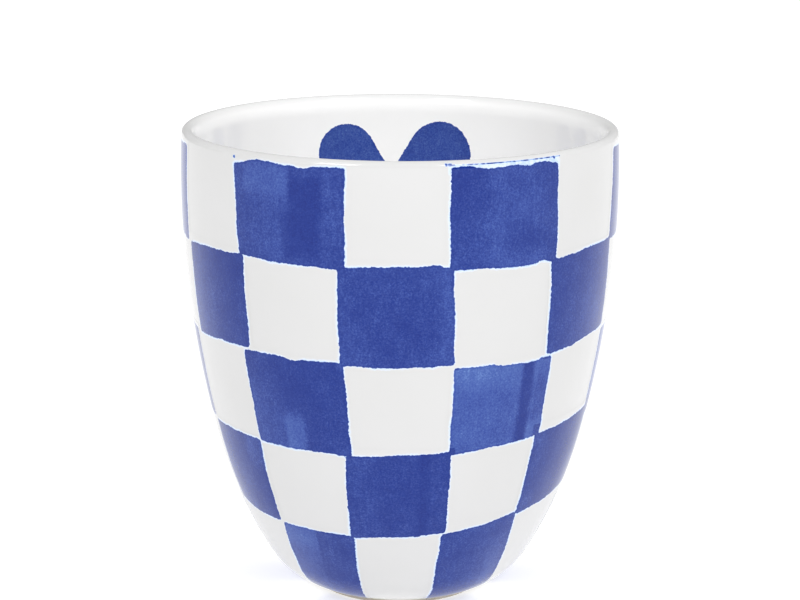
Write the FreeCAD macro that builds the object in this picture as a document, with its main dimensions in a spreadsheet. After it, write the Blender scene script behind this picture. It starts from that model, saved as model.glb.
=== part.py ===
import FreeCAD, Part
import Sketcher
import math
import os

# A glazed stoneware mug without a handle, decorated with five rows of painted
# blue squares and a blue heart inside.
#
# Frame: millimetres, +Z up along the axis of the mug, origin on the table plane
# at the centre of the foot.  The front faces -Y; the heart is on the +Y wall.
#
# The wall is a stack of thin layers that all follow one outline: paint and
# glaze outside, clay, glaze and paint inside.  Every layer surface is the outer
# outline moved inwards by an inset.

doc = FreeCAD.newDocument("polish_stoneware_mug")
sheet = doc.addObject("Spreadsheet::Sheet", "Dimensions")
next_row = 1


def add_cell(alias, content):
    """Write one named cell into the sheet."""
    global next_row
    sheet.set("A%d" % next_row, alias)
    sheet.set("B%d" % next_row, content)
    sheet.setAlias("B%d" % next_row, alias)
    next_row += 1


# ---------------------------------------------------------------- driving sizes

DRIVING = {
    "mug_height": 96.5,
    "widest_radius": 44.5,
    "widest_depth": 10.8,            # widest level, below the rim
    "wall_thickness": 3.2,           # clay and both glaze layers
    "glaze_thickness": 0.3,
    "paint_thickness": 0.12,
    "lip_round_radius": 1.2,         # outer edge and crown of the lip
    "lip_roll_radius": 6.0,          # wider curve from the crown to the inner wall
    "side_curve_radius": 212.0,      # outline: long curve of the side
    "belly_curve_radius": 99.0,      # outline: curve below the side
    "heel_curve_radius": 15.0,       # outline: tight curve above the foot
    "side_end_angle": 14.2,          # lean of the wall where side meets belly
    "belly_end_angle": 30.3,         # lean of the wall where belly meets heel
    "inner_heel_radius": 9.5,        # corner between inner wall and floor
    "foot_outer_radius": 18.0,
    "foot_inner_radius": 14.5,
    "foot_recess_depth": 1.4,
    "foot_rounding": 0.35,
    "bare_clay_gap": 0.4,            # unglazed strip beside the foot
    "column_count": 12.0,
    "row_height": 18.6,
    "first_row_bottom": 20.2,        # below the rim
    "first_row_top": 1.6,            # below the rim
    "last_row_bottom": 0.5,          # above the table; the paint stops at the heel
    "square_gap": 0.25,              # white left around each square
    "square_gap_angle": 0.6,
    "heart_half_width": 16.8,
    "heart_side_depth": 13.5,        # widest level of the heart, below the rim
    "heart_cleft_depth": 17.3,
    "heart_shoulder_offset": 4.0,    # inner end of each round lobe
    "heart_shoulder_depth": 10.2,
    "heart_tip_depth": 38.0,
    "heart_lobe_radius": 6.7,
    "heart_flank_radius": 32.0,
}

for alias, value in DRIVING.items():
    add_cell(alias, repr(value))

# ---------------------------------------------------------------- derived sizes

# Centres of the three tangent arcs of the outline.
add_cell("side_centre_radius", "=widest_radius - side_curve_radius")
add_cell("side_centre_height", "=mug_height - widest_depth")
add_cell("belly_centre_radius",
         "=side_centre_radius + (side_curve_radius - belly_curve_radius) * cos(side_end_angle)")
add_cell("belly_centre_height",
         "=side_centre_height - (side_curve_radius - belly_curve_radius) * sin(side_end_angle)")
add_cell("heel_centre_radius",
         "=belly_centre_radius + (belly_curve_radius - heel_curve_radius) * cos(belly_end_angle)")
add_cell("heel_centre_height",
         "=belly_centre_height - (belly_curve_radius - heel_curve_radius) * sin(belly_end_angle)")

# The lip is a small round that touches the outside of the wall and ends at the
# crown.  On the inside it runs on into a wider roll that touches the inner wall.
add_cell("lip_centre_reach", "=side_curve_radius - lip_round_radius")
add_cell("lip_lean_sine", "=(widest_depth - lip_round_radius) / lip_centre_reach")
add_cell("lip_lean_cosine", "=sqrt(1 - lip_lean_sine ^ 2)")
add_cell("lip_crown_radius", "=side_centre_radius + lip_centre_reach * lip_lean_cosine")
add_cell("lip_centre_height", "=mug_height - lip_round_radius")

# The centres of the side, the lip round and the roll form a triangle with
# three known sides, which gives the lean of the line from side to roll.
add_cell("roll_centre_reach", "=side_curve_radius - wall_thickness + lip_roll_radius")
add_cell("roll_offset", "=lip_roll_radius - lip_round_radius")
add_cell("roll_turn_cosine",
         "=(lip_centre_reach ^ 2 + roll_centre_reach ^ 2 - roll_offset ^ 2)"
         " / (2 * lip_centre_reach * roll_centre_reach)")
add_cell("roll_turn_sine", "=sqrt(1 - roll_turn_cosine ^ 2)")
add_cell("roll_lean_sine",
         "=lip_lean_sine * roll_turn_cosine - lip_lean_cosine * roll_turn_sine")
add_cell("roll_lean_cosine",
         "=lip_lean_cosine * roll_turn_cosine + lip_lean_sine * roll_turn_sine")
add_cell("roll_centre_radius", "=side_centre_radius + roll_centre_reach * roll_lean_cosine")
add_cell("roll_centre_height", "=side_centre_height + roll_centre_reach * roll_lean_sine")
add_cell("roll_join_inwards", "=(lip_crown_radius - roll_centre_radius) / roll_offset")
add_cell("roll_join_upwards", "=(lip_centre_height - roll_centre_height) / roll_offset")


def add_roll_join(name, roll_radius):
    """Add the point where the lip round of a surface meets its roll."""
    add_cell(name + "_radius", "=roll_centre_radius + (%s) * roll_join_inwards" % roll_radius)
    add_cell(name + "_height", "=roll_centre_height + (%s) * roll_join_upwards" % roll_radius)


add_roll_join("roll_join", "lip_roll_radius")
add_roll_join("clay_roll_join", "lip_roll_radius - glaze_thickness")


def add_surface(name, inset, lean):
    """Add the corner positions and arc radii of one layer surface.

    lean names the line on which the surface ends at the top: the lip or the roll.
    """
    add_cell(name + "_inset", "=" + inset)
    for curve in ("side", "belly", "heel"):
        add_cell("%s_%s_curve" % (name, curve), "=%s_curve_radius - %s_inset" % (curve, name))
    add_cell(name + "_lip_radius",
             "=side_centre_radius + %s_side_curve * %s_lean_cosine" % (name, lean))
    add_cell(name + "_lip_height",
             "=side_centre_height + %s_side_curve * %s_lean_sine" % (name, lean))
    for curve in ("side", "belly"):
        add_cell("%s_%s_end_radius" % (name, curve),
                 "={1}_centre_radius + {0}_{1}_curve * cos({1}_end_angle)".format(name, curve))
        add_cell("%s_%s_end_height" % (name, curve),
                 "={1}_centre_height - {0}_{1}_curve * sin({1}_end_angle)".format(name, curve))


def add_heel_end(name, surface, radius):
    """Add the point where the heel arc of a surface reaches the given radius."""
    add_cell(name + "_radius", "=" + radius)
    add_cell(name + "_height",
             "=heel_centre_height - sqrt({0}_heel_curve ^ 2"
             " - ({1}_radius - heel_centre_radius) ^ 2)".format(surface, name))


add_surface("outside_clear", "-wall_thickness", "lip")
add_surface("outside", "0", "lip")
add_surface("outside_paint", "paint_thickness", "lip")
add_surface("outside_clay", "glaze_thickness", "lip")
add_surface("inside_clay", "wall_thickness - glaze_thickness", "roll")
add_surface("inside_paint", "wall_thickness - paint_thickness", "roll")
add_surface("inside", "wall_thickness", "roll")
add_surface("inside_clear", "2 * wall_thickness", "roll")

add_heel_end("clay_heel_end", "outside_clay", "foot_outer_radius")
add_heel_end("glaze_end_outer", "outside", "foot_outer_radius + bare_clay_gap")
add_heel_end("glaze_end_inner", "outside_clay", "foot_outer_radius + bare_clay_gap")
for surface in ("outside_clear", "outside", "outside_paint"):
    add_heel_end(surface + "_paint_end", surface, "foot_outer_radius + 2 * bare_clay_gap")

# Lip round and floor of the glaze and of the clay under it.
add_cell("clay_lip_round_radius", "=lip_round_radius - glaze_thickness")
add_cell("clay_lip_roll_radius", "=lip_roll_radius - glaze_thickness")
add_cell("clay_crown_height", "=mug_height - glaze_thickness")
add_cell("inner_heel_centre_radius",
         "=inside_belly_end_radius - inner_heel_radius * cos(belly_end_angle)")
add_cell("inner_heel_centre_height",
         "=inside_belly_end_height + inner_heel_radius * sin(belly_end_angle)")
add_cell("clay_inner_heel_radius", "=inner_heel_radius + glaze_thickness")
add_cell("floor_height", "=inner_heel_centre_height - inner_heel_radius")
add_cell("clay_floor_height", "=floor_height - glaze_thickness")

# Painted pattern.
add_cell("column_angle", "=360 / column_count")
add_cell("square_angle", "=column_angle - square_gap_angle")
add_cell("wedge_radius", "=widest_radius + wall_thickness")

# Heart, as heights above the table.
for level in ("side", "cleft", "shoulder", "tip"):
    add_cell("heart_%s_height" % level, "=mug_height - heart_%s_depth" % level)
add_cell("axis_radius", "=0")
add_cell("heart_left_side", "=-heart_half_width")
add_cell("heart_left_shoulder", "=-heart_shoulder_offset")

doc.recompute()


def size(alias):
    """Return the current value of a named cell as a number."""
    return float(sheet.get(alias))


# -------------------------------------------------------------- sketch building

def arc_through(start, end, radius, centre_side):
    """Return the short arc from start to end with its centre on one side.

    centre_side is +1 when the centre lies to the left of the way from start to
    end, and -1 when it lies to the right.
    """
    chord = end - start
    half = chord.Length / 2
    rise = math.sqrt(max(radius * radius - half * half, 0.0))
    left = FreeCAD.Vector(-chord.y, chord.x, 0).normalize()
    middle = (start + end) * 0.5
    bulge = middle - left * centre_side * (radius - rise)
    return Part.Arc(start, bulge, end)


def closed_profile(body, name, corners, curves):
    """Draw a closed outline on the vertical XZ plane of a body.

    corners lists the aliases (across, height) of each corner.  curves maps the
    index of an edge to (radius alias, centre side); all other edges are straight.
    """
    sketch = body.newObject("Sketcher::SketchObject", name)
    plane = [item for item in body.Origin.OriginFeatures if item.Role == "XZ_Plane"][0]
    sketch.AttachmentSupport = [(plane, "")]
    sketch.MapMode = "FlatFace"
    points = [FreeCAD.Vector(size(across), size(height), 0) for across, height in corners]
    count = len(points)
    for index in range(count):
        start = points[index]
        end = points[(index + 1) % count]
        if index in curves:
            radius, centre_side = curves[index]
            sketch.addGeometry(arc_through(start, end, size(radius), centre_side), False)
        else:
            sketch.addGeometry(Part.LineSegment(start, end), False)
    # Arcs are stored anticlockwise, so an arc with its centre on the right of
    # the way has its two ends swapped.
    for index in range(count):
        following = (index + 1) % count
        sketch.addConstraint(Sketcher.Constraint(
            "Coincident", index, edge_end(curves, index), following, edge_start(curves, following)))
    for index, (across, height) in enumerate(corners):
        bind_corner(sketch, index, edge_start(curves, index), across, height, points[index])
    for index, (radius, centre_side) in curves.items():
        number = sketch.addConstraint(Sketcher.Constraint("Radius", index, size(radius)))
        sketch.setExpression("Constraints[%d]" % number, "Dimensions.%s" % radius)
    return sketch


def edge_start(curves, index):
    """Return the sketch vertex number of the first end of an edge."""
    swapped = index in curves and curves[index][1] < 0
    return 2 if swapped else 1


def edge_end(curves, index):
    """Return the sketch vertex number of the second end of an edge."""
    return 3 - edge_start(curves, index)


def bind_corner(sketch, edge, vertex, across, height, point):
    """Tie one corner to its two cells; a corner on the axis is put on the axis."""
    origin = (-1, 1)
    if abs(point.x) < 1e-9:
        sketch.addConstraint(Sketcher.Constraint("PointOnObject", edge, vertex, -2))
    else:
        number = sketch.addConstraint(Sketcher.Constraint(
            "DistanceX", origin[0], origin[1], edge, vertex, point.x))
        sketch.setExpression("Constraints[%d]" % number, "Dimensions.%s" % across)
    if abs(point.y) < 1e-9:
        sketch.addConstraint(Sketcher.Constraint("PointOnObject", edge, vertex, -1))
    else:
        number = sketch.addConstraint(Sketcher.Constraint(
            "DistanceY", origin[0], origin[1], edge, vertex, point.y))
        sketch.setExpression("Constraints[%d]" % number, "Dimensions.%s" % height)


def turned_body(name, corners, curves):
    """Return a body made by turning an outline once around the mug axis."""
    body = doc.addObject("PartDesign::Body", name)
    sketch = closed_profile(body, name + "_outline", corners, curves)
    turn = body.newObject("PartDesign::Revolution", name + "_turn")
    turn.Profile = sketch
    turn.ReferenceAxis = (sketch, ["V_Axis"])
    turn.Angle = 360.0
    sketch.Visibility = False
    return body


def wall_line(surface, upwards):
    """Return the lip, side and belly corners of a surface, in order."""
    corners = [(surface + "_lip_radius", surface + "_lip_height"),
               (surface + "_side_end_radius", surface + "_side_end_height"),
               (surface + "_belly_end_radius", surface + "_belly_end_height")]
    return corners[::-1] if upwards else corners


# ------------------------------------------------------------------- sub-parts

def make_clay():
    """Return the thrown clay wall with its floor and bare foot ring."""
    corners = [("foot_outer_radius", "axis_radius"),
               ("foot_outer_radius", "clay_heel_end_height")]
    corners += wall_line("outside_clay", upwards=True)
    corners += [("lip_crown_radius", "clay_crown_height"),
                ("clay_roll_join_radius", "clay_roll_join_height")]
    corners += wall_line("inside_clay", upwards=False)
    corners += [("inner_heel_centre_radius", "clay_floor_height"),
                ("axis_radius", "clay_floor_height"),
                ("axis_radius", "foot_recess_depth"),
                ("foot_inner_radius", "foot_recess_depth"),
                ("foot_inner_radius", "axis_radius")]
    curves = {1: ("outside_clay_heel_curve", 1),
              2: ("outside_clay_belly_curve", 1),
              3: ("outside_clay_side_curve", 1),
              4: ("clay_lip_round_radius", 1),
              5: ("clay_lip_round_radius", 1),
              6: ("clay_lip_roll_radius", 1),
              7: ("inside_clay_side_curve", -1),
              8: ("inside_clay_belly_curve", -1),
              9: ("clay_inner_heel_radius", -1)}
    body = turned_body("stoneware_body", corners, curves)
    doc.recompute()
    round_foot(body)
    return body


def round_foot(body):
    """Round the two edges of the foot ring where it meets the table."""
    solid = body.Tip
    names = []
    for number, edge in enumerate(solid.Shape.Edges, start=1):
        on_table = abs(edge.BoundBox.ZMin) < 1e-6 and abs(edge.BoundBox.ZMax) < 1e-6
        if on_table and isinstance(edge.Curve, Part.Circle):
            names.append("Edge%d" % number)
    rounding = body.newObject("PartDesign::Fillet", "foot_edge_rounding")
    rounding.Base = (solid, names)
    rounding.Radius = size("foot_rounding")
    rounding.setExpression("Radius", "Dimensions.foot_rounding")


def make_plain_glaze():
    """Return the clear white coat over the outside, the lip and the inside."""
    corners = [("glaze_end_inner_radius", "glaze_end_inner_height"),
               ("glaze_end_outer_radius", "glaze_end_outer_height")]
    corners += wall_line("outside", upwards=True)
    corners += [("lip_crown_radius", "mug_height"),
                ("roll_join_radius", "roll_join_height")]
    corners += wall_line("inside", upwards=False)
    corners += [("inner_heel_centre_radius", "floor_height"),
                ("axis_radius", "floor_height"),
                ("axis_radius", "clay_floor_height"),
                ("inner_heel_centre_radius", "clay_floor_height")]
    corners += wall_line("inside_clay", upwards=True)
    corners += [("clay_roll_join_radius", "clay_roll_join_height"),
                ("lip_crown_radius", "clay_crown_height")]
    corners += wall_line("outside_clay", upwards=False)
    curves = {1: ("outside_heel_curve", 1),
              2: ("outside_belly_curve", 1),
              3: ("outside_side_curve", 1),
              4: ("lip_round_radius", 1),
              5: ("lip_round_radius", 1),
              6: ("lip_roll_radius", 1),
              7: ("inside_side_curve", -1),
              8: ("inside_belly_curve", -1),
              9: ("inner_heel_radius", -1),
              13: ("clay_inner_heel_radius", 1),
              14: ("inside_clay_belly_curve", 1),
              15: ("inside_clay_side_curve", 1),
              16: ("clay_lip_roll_radius", -1),
              17: ("clay_lip_round_radius", -1),
              18: ("clay_lip_round_radius", -1),
              19: ("outside_clay_side_curve", -1),
              20: ("outside_clay_belly_curve", -1),
              21: ("outside_clay_heel_curve", -1)}
    return turned_body("plain_glaze", corners, curves)


def make_outer_shell(name, outer, inner):
    """Return a thin shell that follows the outside, between two surfaces."""
    corners = [(inner + "_paint_end_radius", inner + "_paint_end_height"),
               (outer + "_paint_end_radius", outer + "_paint_end_height")]
    corners += wall_line(outer, upwards=True)
    corners += wall_line(inner, upwards=False)
    curves = {1: (outer + "_heel_curve", 1),
              2: (outer + "_belly_curve", 1),
              3: (outer + "_side_curve", 1),
              5: (inner + "_side_curve", -1),
              6: (inner + "_belly_curve", -1),
              7: (inner + "_heel_curve", -1)}
    return turned_body(name, corners, curves)


def make_inner_shell(name, outer, inner):
    """Return a thin shell that follows the side of the inside wall."""
    corners = [(inner + "_side_end_radius", inner + "_side_end_height"),
               (outer + "_side_end_radius", outer + "_side_end_height"),
               (outer + "_lip_radius", outer + "_lip_height"),
               (inner + "_lip_radius", inner + "_lip_height")]
    curves = {1: (outer + "_side_curve", 1),
              3: (inner + "_side_curve", -1)}
    return turned_body(name, corners, curves)


def make_heart_prism():
    """Return a heart-shaped prism that reaches the +Y wall of the mug."""
    corners = [("axis_radius", "heart_cleft_height"),
               ("heart_shoulder_offset", "heart_shoulder_height"),
               ("heart_half_width", "heart_side_height"),
               ("axis_radius", "heart_tip_height"),
               ("heart_left_side", "heart_side_height"),
               ("heart_left_shoulder", "heart_shoulder_height")]
    curves = {1: ("heart_lobe_radius", -1),
              2: ("heart_flank_radius", -1),
              3: ("heart_flank_radius", -1),
              4: ("heart_lobe_radius", -1)}
    body = doc.addObject("PartDesign::Body", "heart_prism")
    sketch = closed_profile(body, "heart_outline", corners, curves)
    pad = body.newObject("PartDesign::Pad", "heart_depth")
    pad.Profile = sketch
    pad.Reversed = True
    pad.Length = size("wedge_radius")
    pad.setExpression("Length", "Dimensions.wedge_radius")
    sketch.Visibility = False
    return body


def make_base_glaze():
    """Return the round patch of glaze in the recess under the foot."""
    disc = doc.addObject("Part::Cylinder", "base_glaze_disc")
    disc.setExpression("Radius", "Dimensions.foot_inner_radius")
    disc.setExpression("Height", "Dimensions.glaze_thickness")
    disc.setExpression("Placement.Base.z",
                       "Dimensions.foot_recess_depth - Dimensions.glaze_thickness")
    return disc


FIRST_ROW = 1
LAST_ROW = 5
FIRST_TURN = 10.0                    # degrees

# Name of the place of each square and its column, counted from the front
# column towards the right-hand side.
FRONT_COLUMNS = {"front": 0, "front_right": 2, "back_right": 4,
                 "back": 6, "back_left": 8, "front_left": 10}
SIDE_COLUMNS = {"front_right": 1, "right": 3, "back_right": 5,
                "back_left": 7, "left": 9, "front_left": 11}


def row_level(row, edge):
    """Return the expression for the height of the top or bottom of a row."""
    if row == FIRST_ROW and edge == "top":
        return "Dimensions.mug_height - Dimensions.first_row_top"
    if row == LAST_ROW and edge == "bottom":
        return "Dimensions.last_row_bottom"
    rows_below_first = row - 1 if edge == "bottom" else row - 2
    gap_sign = "+" if edge == "bottom" else "-"
    return ("Dimensions.mug_height - Dimensions.first_row_bottom"
            " - %d * Dimensions.row_height %s Dimensions.square_gap"
            % (rows_below_first, gap_sign))


def make_wedge(name, row, column):
    """Return the slice of a round block that marks out one square."""
    wedge = doc.addObject("Part::Cylinder", name)
    # This first turn only fixes the upright axis; the expression sets the angle.
    upright = FreeCAD.Vector(0, 0, 1)
    wedge.Placement = FreeCAD.Placement(
        FreeCAD.Vector(0, 0, 0), FreeCAD.Rotation(upright, FIRST_TURN))
    wedge.setExpression("Radius", "Dimensions.wedge_radius")
    wedge.setExpression("Angle", "Dimensions.square_angle")
    wedge.setExpression("Placement.Base.z", row_level(row, "bottom"))
    wedge.setExpression("Height", "(%s) - (%s)" % (row_level(row, "top"), row_level(row, "bottom")))
    wedge.setExpression("Placement.Rotation.Angle",
                        "270 + %d * Dimensions.column_angle - Dimensions.square_angle / 2" % column)
    wedge.Visibility = False
    return wedge


def make_common(name, shell, marker):
    """Return the part of a shell that lies inside a marking block."""
    common = doc.addObject("Part::Common", name)
    common.Base = shell
    common.Tool = marker
    return common


def make_squares(paint_shell, pocket_shell):
    """Return the painted squares and their pockets, row by row.

    Even rows have a square at the front; odd rows have one on each side of it.
    """
    squares = []
    pockets = []
    for row in range(FIRST_ROW, LAST_ROW + 1):
        places = FRONT_COLUMNS if row % 2 == 0 else SIDE_COLUMNS
        for place, column in places.items():
            name = "blue_square_row%d_%s" % (row, place)
            wedge = make_wedge(name + "_wedge", row, column)
            squares.append(make_common(name, paint_shell, wedge))
            pockets.append(make_common(name + "_pocket", pocket_shell, wedge))
    return squares, pockets


def make_glaze_coat(plain_glaze, pockets):
    """Return the glaze with a shallow pocket where each painted patch sits."""
    cutters = doc.addObject("Part::Compound", "all_pockets")
    cutters.Links = pockets
    coat = doc.addObject("Part::Cut", "white_glaze_coat")
    coat.Base = plain_glaze
    coat.Tool = cutters
    return coat


clay = make_clay()
plain_glaze = make_plain_glaze()
base_glaze = make_base_glaze()
squares, pockets = make_squares(
    make_outer_shell("outer_paint_shell", "outside", "outside_paint"),
    make_outer_shell("outer_pocket_shell", "outside_clear", "outside_paint"))
heart_prism = make_heart_prism()
heart = make_common("blue_heart",
                    make_inner_shell("inner_paint_shell", "inside_paint", "inside"), heart_prism)
heart_pocket = make_common("blue_heart_pocket",
                           make_inner_shell("inner_pocket_shell", "inside_paint", "inside_clear"),
                           heart_prism)
glaze_coat = make_glaze_coat(plain_glaze, pockets + [heart_pocket])
doc.recompute()

nodes = [clay, glaze_coat, base_glaze, heart] + squares
for node in nodes:
    node.Label = node.Name

# -------------------------------------------------------------------- checking

for item in doc.Objects:
    faults = [state for state in item.State if state in ("Invalid", "Error")]
    if faults:
        raise RuntimeError("%s did not recompute: %s" % (item.Name, faults))
    if item.isDerivedFrom("Sketcher::SketchObject") and item.solve() != 0:
        raise RuntimeError("sketch %s does not solve" % item.Name)

for node in nodes:
    shape = node.Shape
    if shape.isNull() or not shape.isValid() or len(shape.Solids) != 1:
        raise RuntimeError("%s is not one sound solid" % node.Label)

painted_volume = sum(node.Shape.Volume for node in squares + [heart])
cut_volume = plain_glaze.Shape.Volume - glaze_coat.Shape.Volume
if abs(cut_volume - painted_volume) > 0.01 * painted_volume:
    raise RuntimeError("the glaze pockets do not match the painted patches")

# --------------------------------------------------------------------- writing

os.makedirs("parts", exist_ok=True)
for node in nodes:
    node.Shape.exportStep("parts/%s.step" % node.Label)

outline = Part.makeCompound([node.Shape for node in nodes]).BoundBox
print("bounding box: %.3f x %.3f x %.3f mm, lowest point %.3f"
      % (outline.XLength, outline.YLength, outline.ZLength, outline.ZMin))
print("floor height %.2f, painted volume %.2f" % (size("floor_height"), painted_volume))
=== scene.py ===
import math
import random

import bpy
import numpy as np
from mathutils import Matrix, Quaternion, Vector


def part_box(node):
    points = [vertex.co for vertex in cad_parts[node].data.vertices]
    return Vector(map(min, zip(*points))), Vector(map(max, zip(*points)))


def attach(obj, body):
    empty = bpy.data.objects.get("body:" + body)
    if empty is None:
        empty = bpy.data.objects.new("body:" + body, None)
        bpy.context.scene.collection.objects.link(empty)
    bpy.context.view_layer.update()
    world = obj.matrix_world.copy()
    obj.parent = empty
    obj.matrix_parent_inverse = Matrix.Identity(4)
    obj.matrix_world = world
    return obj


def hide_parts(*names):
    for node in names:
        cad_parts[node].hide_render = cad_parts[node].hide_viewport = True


# Looks of a handleless stoneware mug: white glaze, hand-painted blue squares,
# a blue heart inside and a bare clay foot.
#
# Shapes are worked out in millimetres on the wall of the mug and written to the
# meshes in metres.  A place on the wall is (azimuth, distance): azimuth in
# degrees from the front (-Y) towards the right (+X), distance in millimetres
# along the outline, from the crown of the lip.

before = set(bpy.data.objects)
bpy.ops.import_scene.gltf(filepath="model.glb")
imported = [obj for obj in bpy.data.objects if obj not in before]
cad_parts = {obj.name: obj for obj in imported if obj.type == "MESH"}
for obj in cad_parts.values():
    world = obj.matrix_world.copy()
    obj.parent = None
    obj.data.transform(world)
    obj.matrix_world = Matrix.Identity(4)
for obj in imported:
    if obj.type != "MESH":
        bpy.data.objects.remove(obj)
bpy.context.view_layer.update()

MM = 0.001
COAT_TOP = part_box("white_glaze_coat")[1]

# ------------------------------------------------------------ driving dimensions

# The wall is a chain of tangent arcs: lip, side, belly and heel.  Lengths are in
# millimetres, the ends of the side and of the belly in degrees below level.
RIM_HEIGHT = COAT_TOP.z / MM
WIDEST_RADIUS = 44.5
WIDEST_DEPTH = 10.8
WALL = 3.2
GLAZE = 0.3
LIP_ROUND = 1.2
LIP_ROLL = 6.0
SIDE_CURVE = 212.0
BELLY_CURVE = 99.0
HEEL_CURVE = 15.0
SIDE_END = 14.2
BELLY_END = 30.3
INNER_HEEL = 9.5
GLAZE_END_RADIUS = 18.4

# The squares: the width of a column in degrees and the levels between the rows
# in millimetres below the rim.
COLUMN_ANGLE = 30.0
ROW_DEPTHS = (1.75, 20.2, 39.0, 57.8, 76.0, 95.4)

# How closely the mesh points lie, in millimetres, and how many go round the coat.
LIP_STEP = 0.2
WALL_STEP = 0.9
FLOOR_STEP = 1.2
PAINT_STEP = 0.33
COAT_COLUMNS = 360

LIP_REACH = SIDE_CURVE - LIP_ROUND
LIP_LEAN = math.degrees(math.asin((WIDEST_DEPTH - LIP_ROUND) / LIP_REACH))
ROLL_REACH = SIDE_CURVE - WALL + LIP_ROLL
ROLL_TURN = math.acos((LIP_REACH ** 2 + ROLL_REACH ** 2 - (LIP_ROLL - LIP_ROUND) ** 2)
                      / (2 * LIP_REACH * ROLL_REACH))
ROLL_LEAN = LIP_LEAN - math.degrees(ROLL_TURN)


# ----------------------------------------------------------------- mug outline

def polar(centre, radius, angle):
    """Return the point at an angle in degrees on a circle in the outline plane."""
    turn = math.radians(angle)
    return centre[0] + radius * math.cos(turn), centre[1] + radius * math.sin(turn)


SIDE_CENTRE = (WIDEST_RADIUS - SIDE_CURVE, RIM_HEIGHT - WIDEST_DEPTH)
BELLY_CENTRE = polar(SIDE_CENTRE, SIDE_CURVE - BELLY_CURVE, -SIDE_END)
HEEL_CENTRE = polar(BELLY_CENTRE, BELLY_CURVE - HEEL_CURVE, -BELLY_END)
LIP_CENTRE = polar(SIDE_CENTRE, LIP_REACH, LIP_LEAN)
ROLL_CENTRE = polar(SIDE_CENTRE, ROLL_REACH, ROLL_LEAN)
ROLL_START = math.degrees(math.atan2(LIP_CENTRE[1] - ROLL_CENTRE[1],
                                     LIP_CENTRE[0] - ROLL_CENTRE[0]))
INNER_HEEL_START = polar(BELLY_CENTRE, BELLY_CURVE - WALL, -BELLY_END)
INNER_HEEL_CENTRE = polar(INNER_HEEL_START, -INNER_HEEL, -BELLY_END)
HEEL_END = math.degrees(math.acos((GLAZE_END_RADIUS - HEEL_CENTRE[0]) / HEEL_CURVE))


def trace(arcs, step=0.05):
    """Return a dense outline along a chain of arcs.

    Each arc is (centre, radius, first angle, last angle, side), where side is
    +1 when the surface faces away from the centre and -1 when it faces it.
    """
    columns = []
    for centre, radius, first, last, side in arcs:
        length = radius * math.radians(abs(last - first))
        angles = np.radians(np.linspace(first, last, max(int(length / step), 2)))
        normals = np.stack([np.cos(angles), np.sin(angles)])
        points = np.array(centre)[:, None] + radius * normals
        columns.append(np.concatenate([points, side * normals]))
    table = np.concatenate(columns, axis=1)
    strides = np.hypot(np.diff(table[0]), np.diff(table[1]))
    distance = np.concatenate([[0.0], np.cumsum(strides)])
    return {"distance": distance, "radius": table[0], "height": table[1],
            "normal_out": table[2], "normal_up": table[3]}


OUTSIDE = trace([(LIP_CENTRE, LIP_ROUND, 90.0, LIP_LEAN, 1),
                 (SIDE_CENTRE, SIDE_CURVE, LIP_LEAN, -SIDE_END, 1),
                 (BELLY_CENTRE, BELLY_CURVE, -SIDE_END, -BELLY_END, 1),
                 (HEEL_CENTRE, HEEL_CURVE, -BELLY_END, -HEEL_END, 1)])
INSIDE = trace([(LIP_CENTRE, LIP_ROUND, 90.0, ROLL_START, 1),
                (ROLL_CENTRE, LIP_ROLL, ROLL_START, 180.0 + ROLL_LEAN, 1),
                (SIDE_CENTRE, SIDE_CURVE - WALL, ROLL_LEAN, -SIDE_END, -1),
                (BELLY_CENTRE, BELLY_CURVE - WALL, -SIDE_END, -BELLY_END, -1),
                (INNER_HEEL_CENTRE, INNER_HEEL, -BELLY_END, -90.0, -1)])


def look_up(outline, what, distance):
    """Return one column of an outline at the given distances."""
    return np.interp(distance, outline["distance"], outline[what])


def distance_at_depth(outline, depth):
    """Return the distance along an outline at a depth below the rim."""
    height = RIM_HEIGHT - np.asarray(depth, float)
    return np.interp(-height, -outline["height"], outline["distance"])


def hand_waver(azimuth, height):
    """Return the slight unevenness of the wall, in millimetres, outwards."""
    turn = np.radians(azimuth)
    share = np.clip(height / RIM_HEIGHT, 0, 1)
    broad = 0.05 * np.sin(2 * turn + 0.4) + 0.03 * np.sin(3 * turn + height / 25)
    close = 0.02 * np.sin(5 * turn - height / 14 + 1.3) + 0.012 * np.sin(9 * turn + height / 9)
    return share * (broad + close)


def wall_points(outline, azimuth, distance, lift=0.0):
    """Return points on the wall, raised by lift, as an array of metres."""
    height = look_up(outline, "height", distance)
    radius = look_up(outline, "radius", distance) + hand_waver(azimuth, height)
    radius = radius + lift * look_up(outline, "normal_out", distance)
    height = height + lift * look_up(outline, "normal_up", distance)
    turn = np.radians(azimuth)
    return MM * np.stack([radius * np.sin(turn), -radius * np.cos(turn), height], axis=-1)


# --------------------------------------------------------------------- meshes

def grid_faces(rows, columns, closed):
    """Return the quads of a grid of points; closed joins the last column to the first."""
    last = columns if closed else columns - 1
    row, column = np.meshgrid(np.arange(rows - 1), np.arange(last), indexing="ij")
    right = (column + 1) % columns
    quads = np.stack([row * columns + column, (row + 1) * columns + column,
                      (row + 1) * columns + right, row * columns + right], axis=-1)
    return quads.reshape(-1, 4)


def make_object(name, points, faces, values=None):
    """Return a smooth mesh object with named per-point values."""
    mesh = bpy.data.meshes.new(name)
    mesh.from_pydata(points.reshape(-1, 3).tolist(), [], faces)
    mesh.shade_smooth()
    for label, data in (values or {}).items():
        kind = "FLOAT_VECTOR" if data.ndim == 3 else "FLOAT"
        attribute = mesh.attributes.new(label, kind, "POINT")
        field = "vector" if kind == "FLOAT_VECTOR" else "value"
        attribute.data.foreach_set(field, data.astype(np.float32).ravel())
    mesh.update()
    thing = bpy.data.objects.new(name, mesh)
    bpy.context.scene.collection.objects.link(thing)
    return thing


def even_steps(first, last, spacing):
    """Return evenly spaced values from first to last, about spacing apart."""
    return np.linspace(first, last, max(int(round(abs(last - first) / spacing)), 1) + 1)


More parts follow.
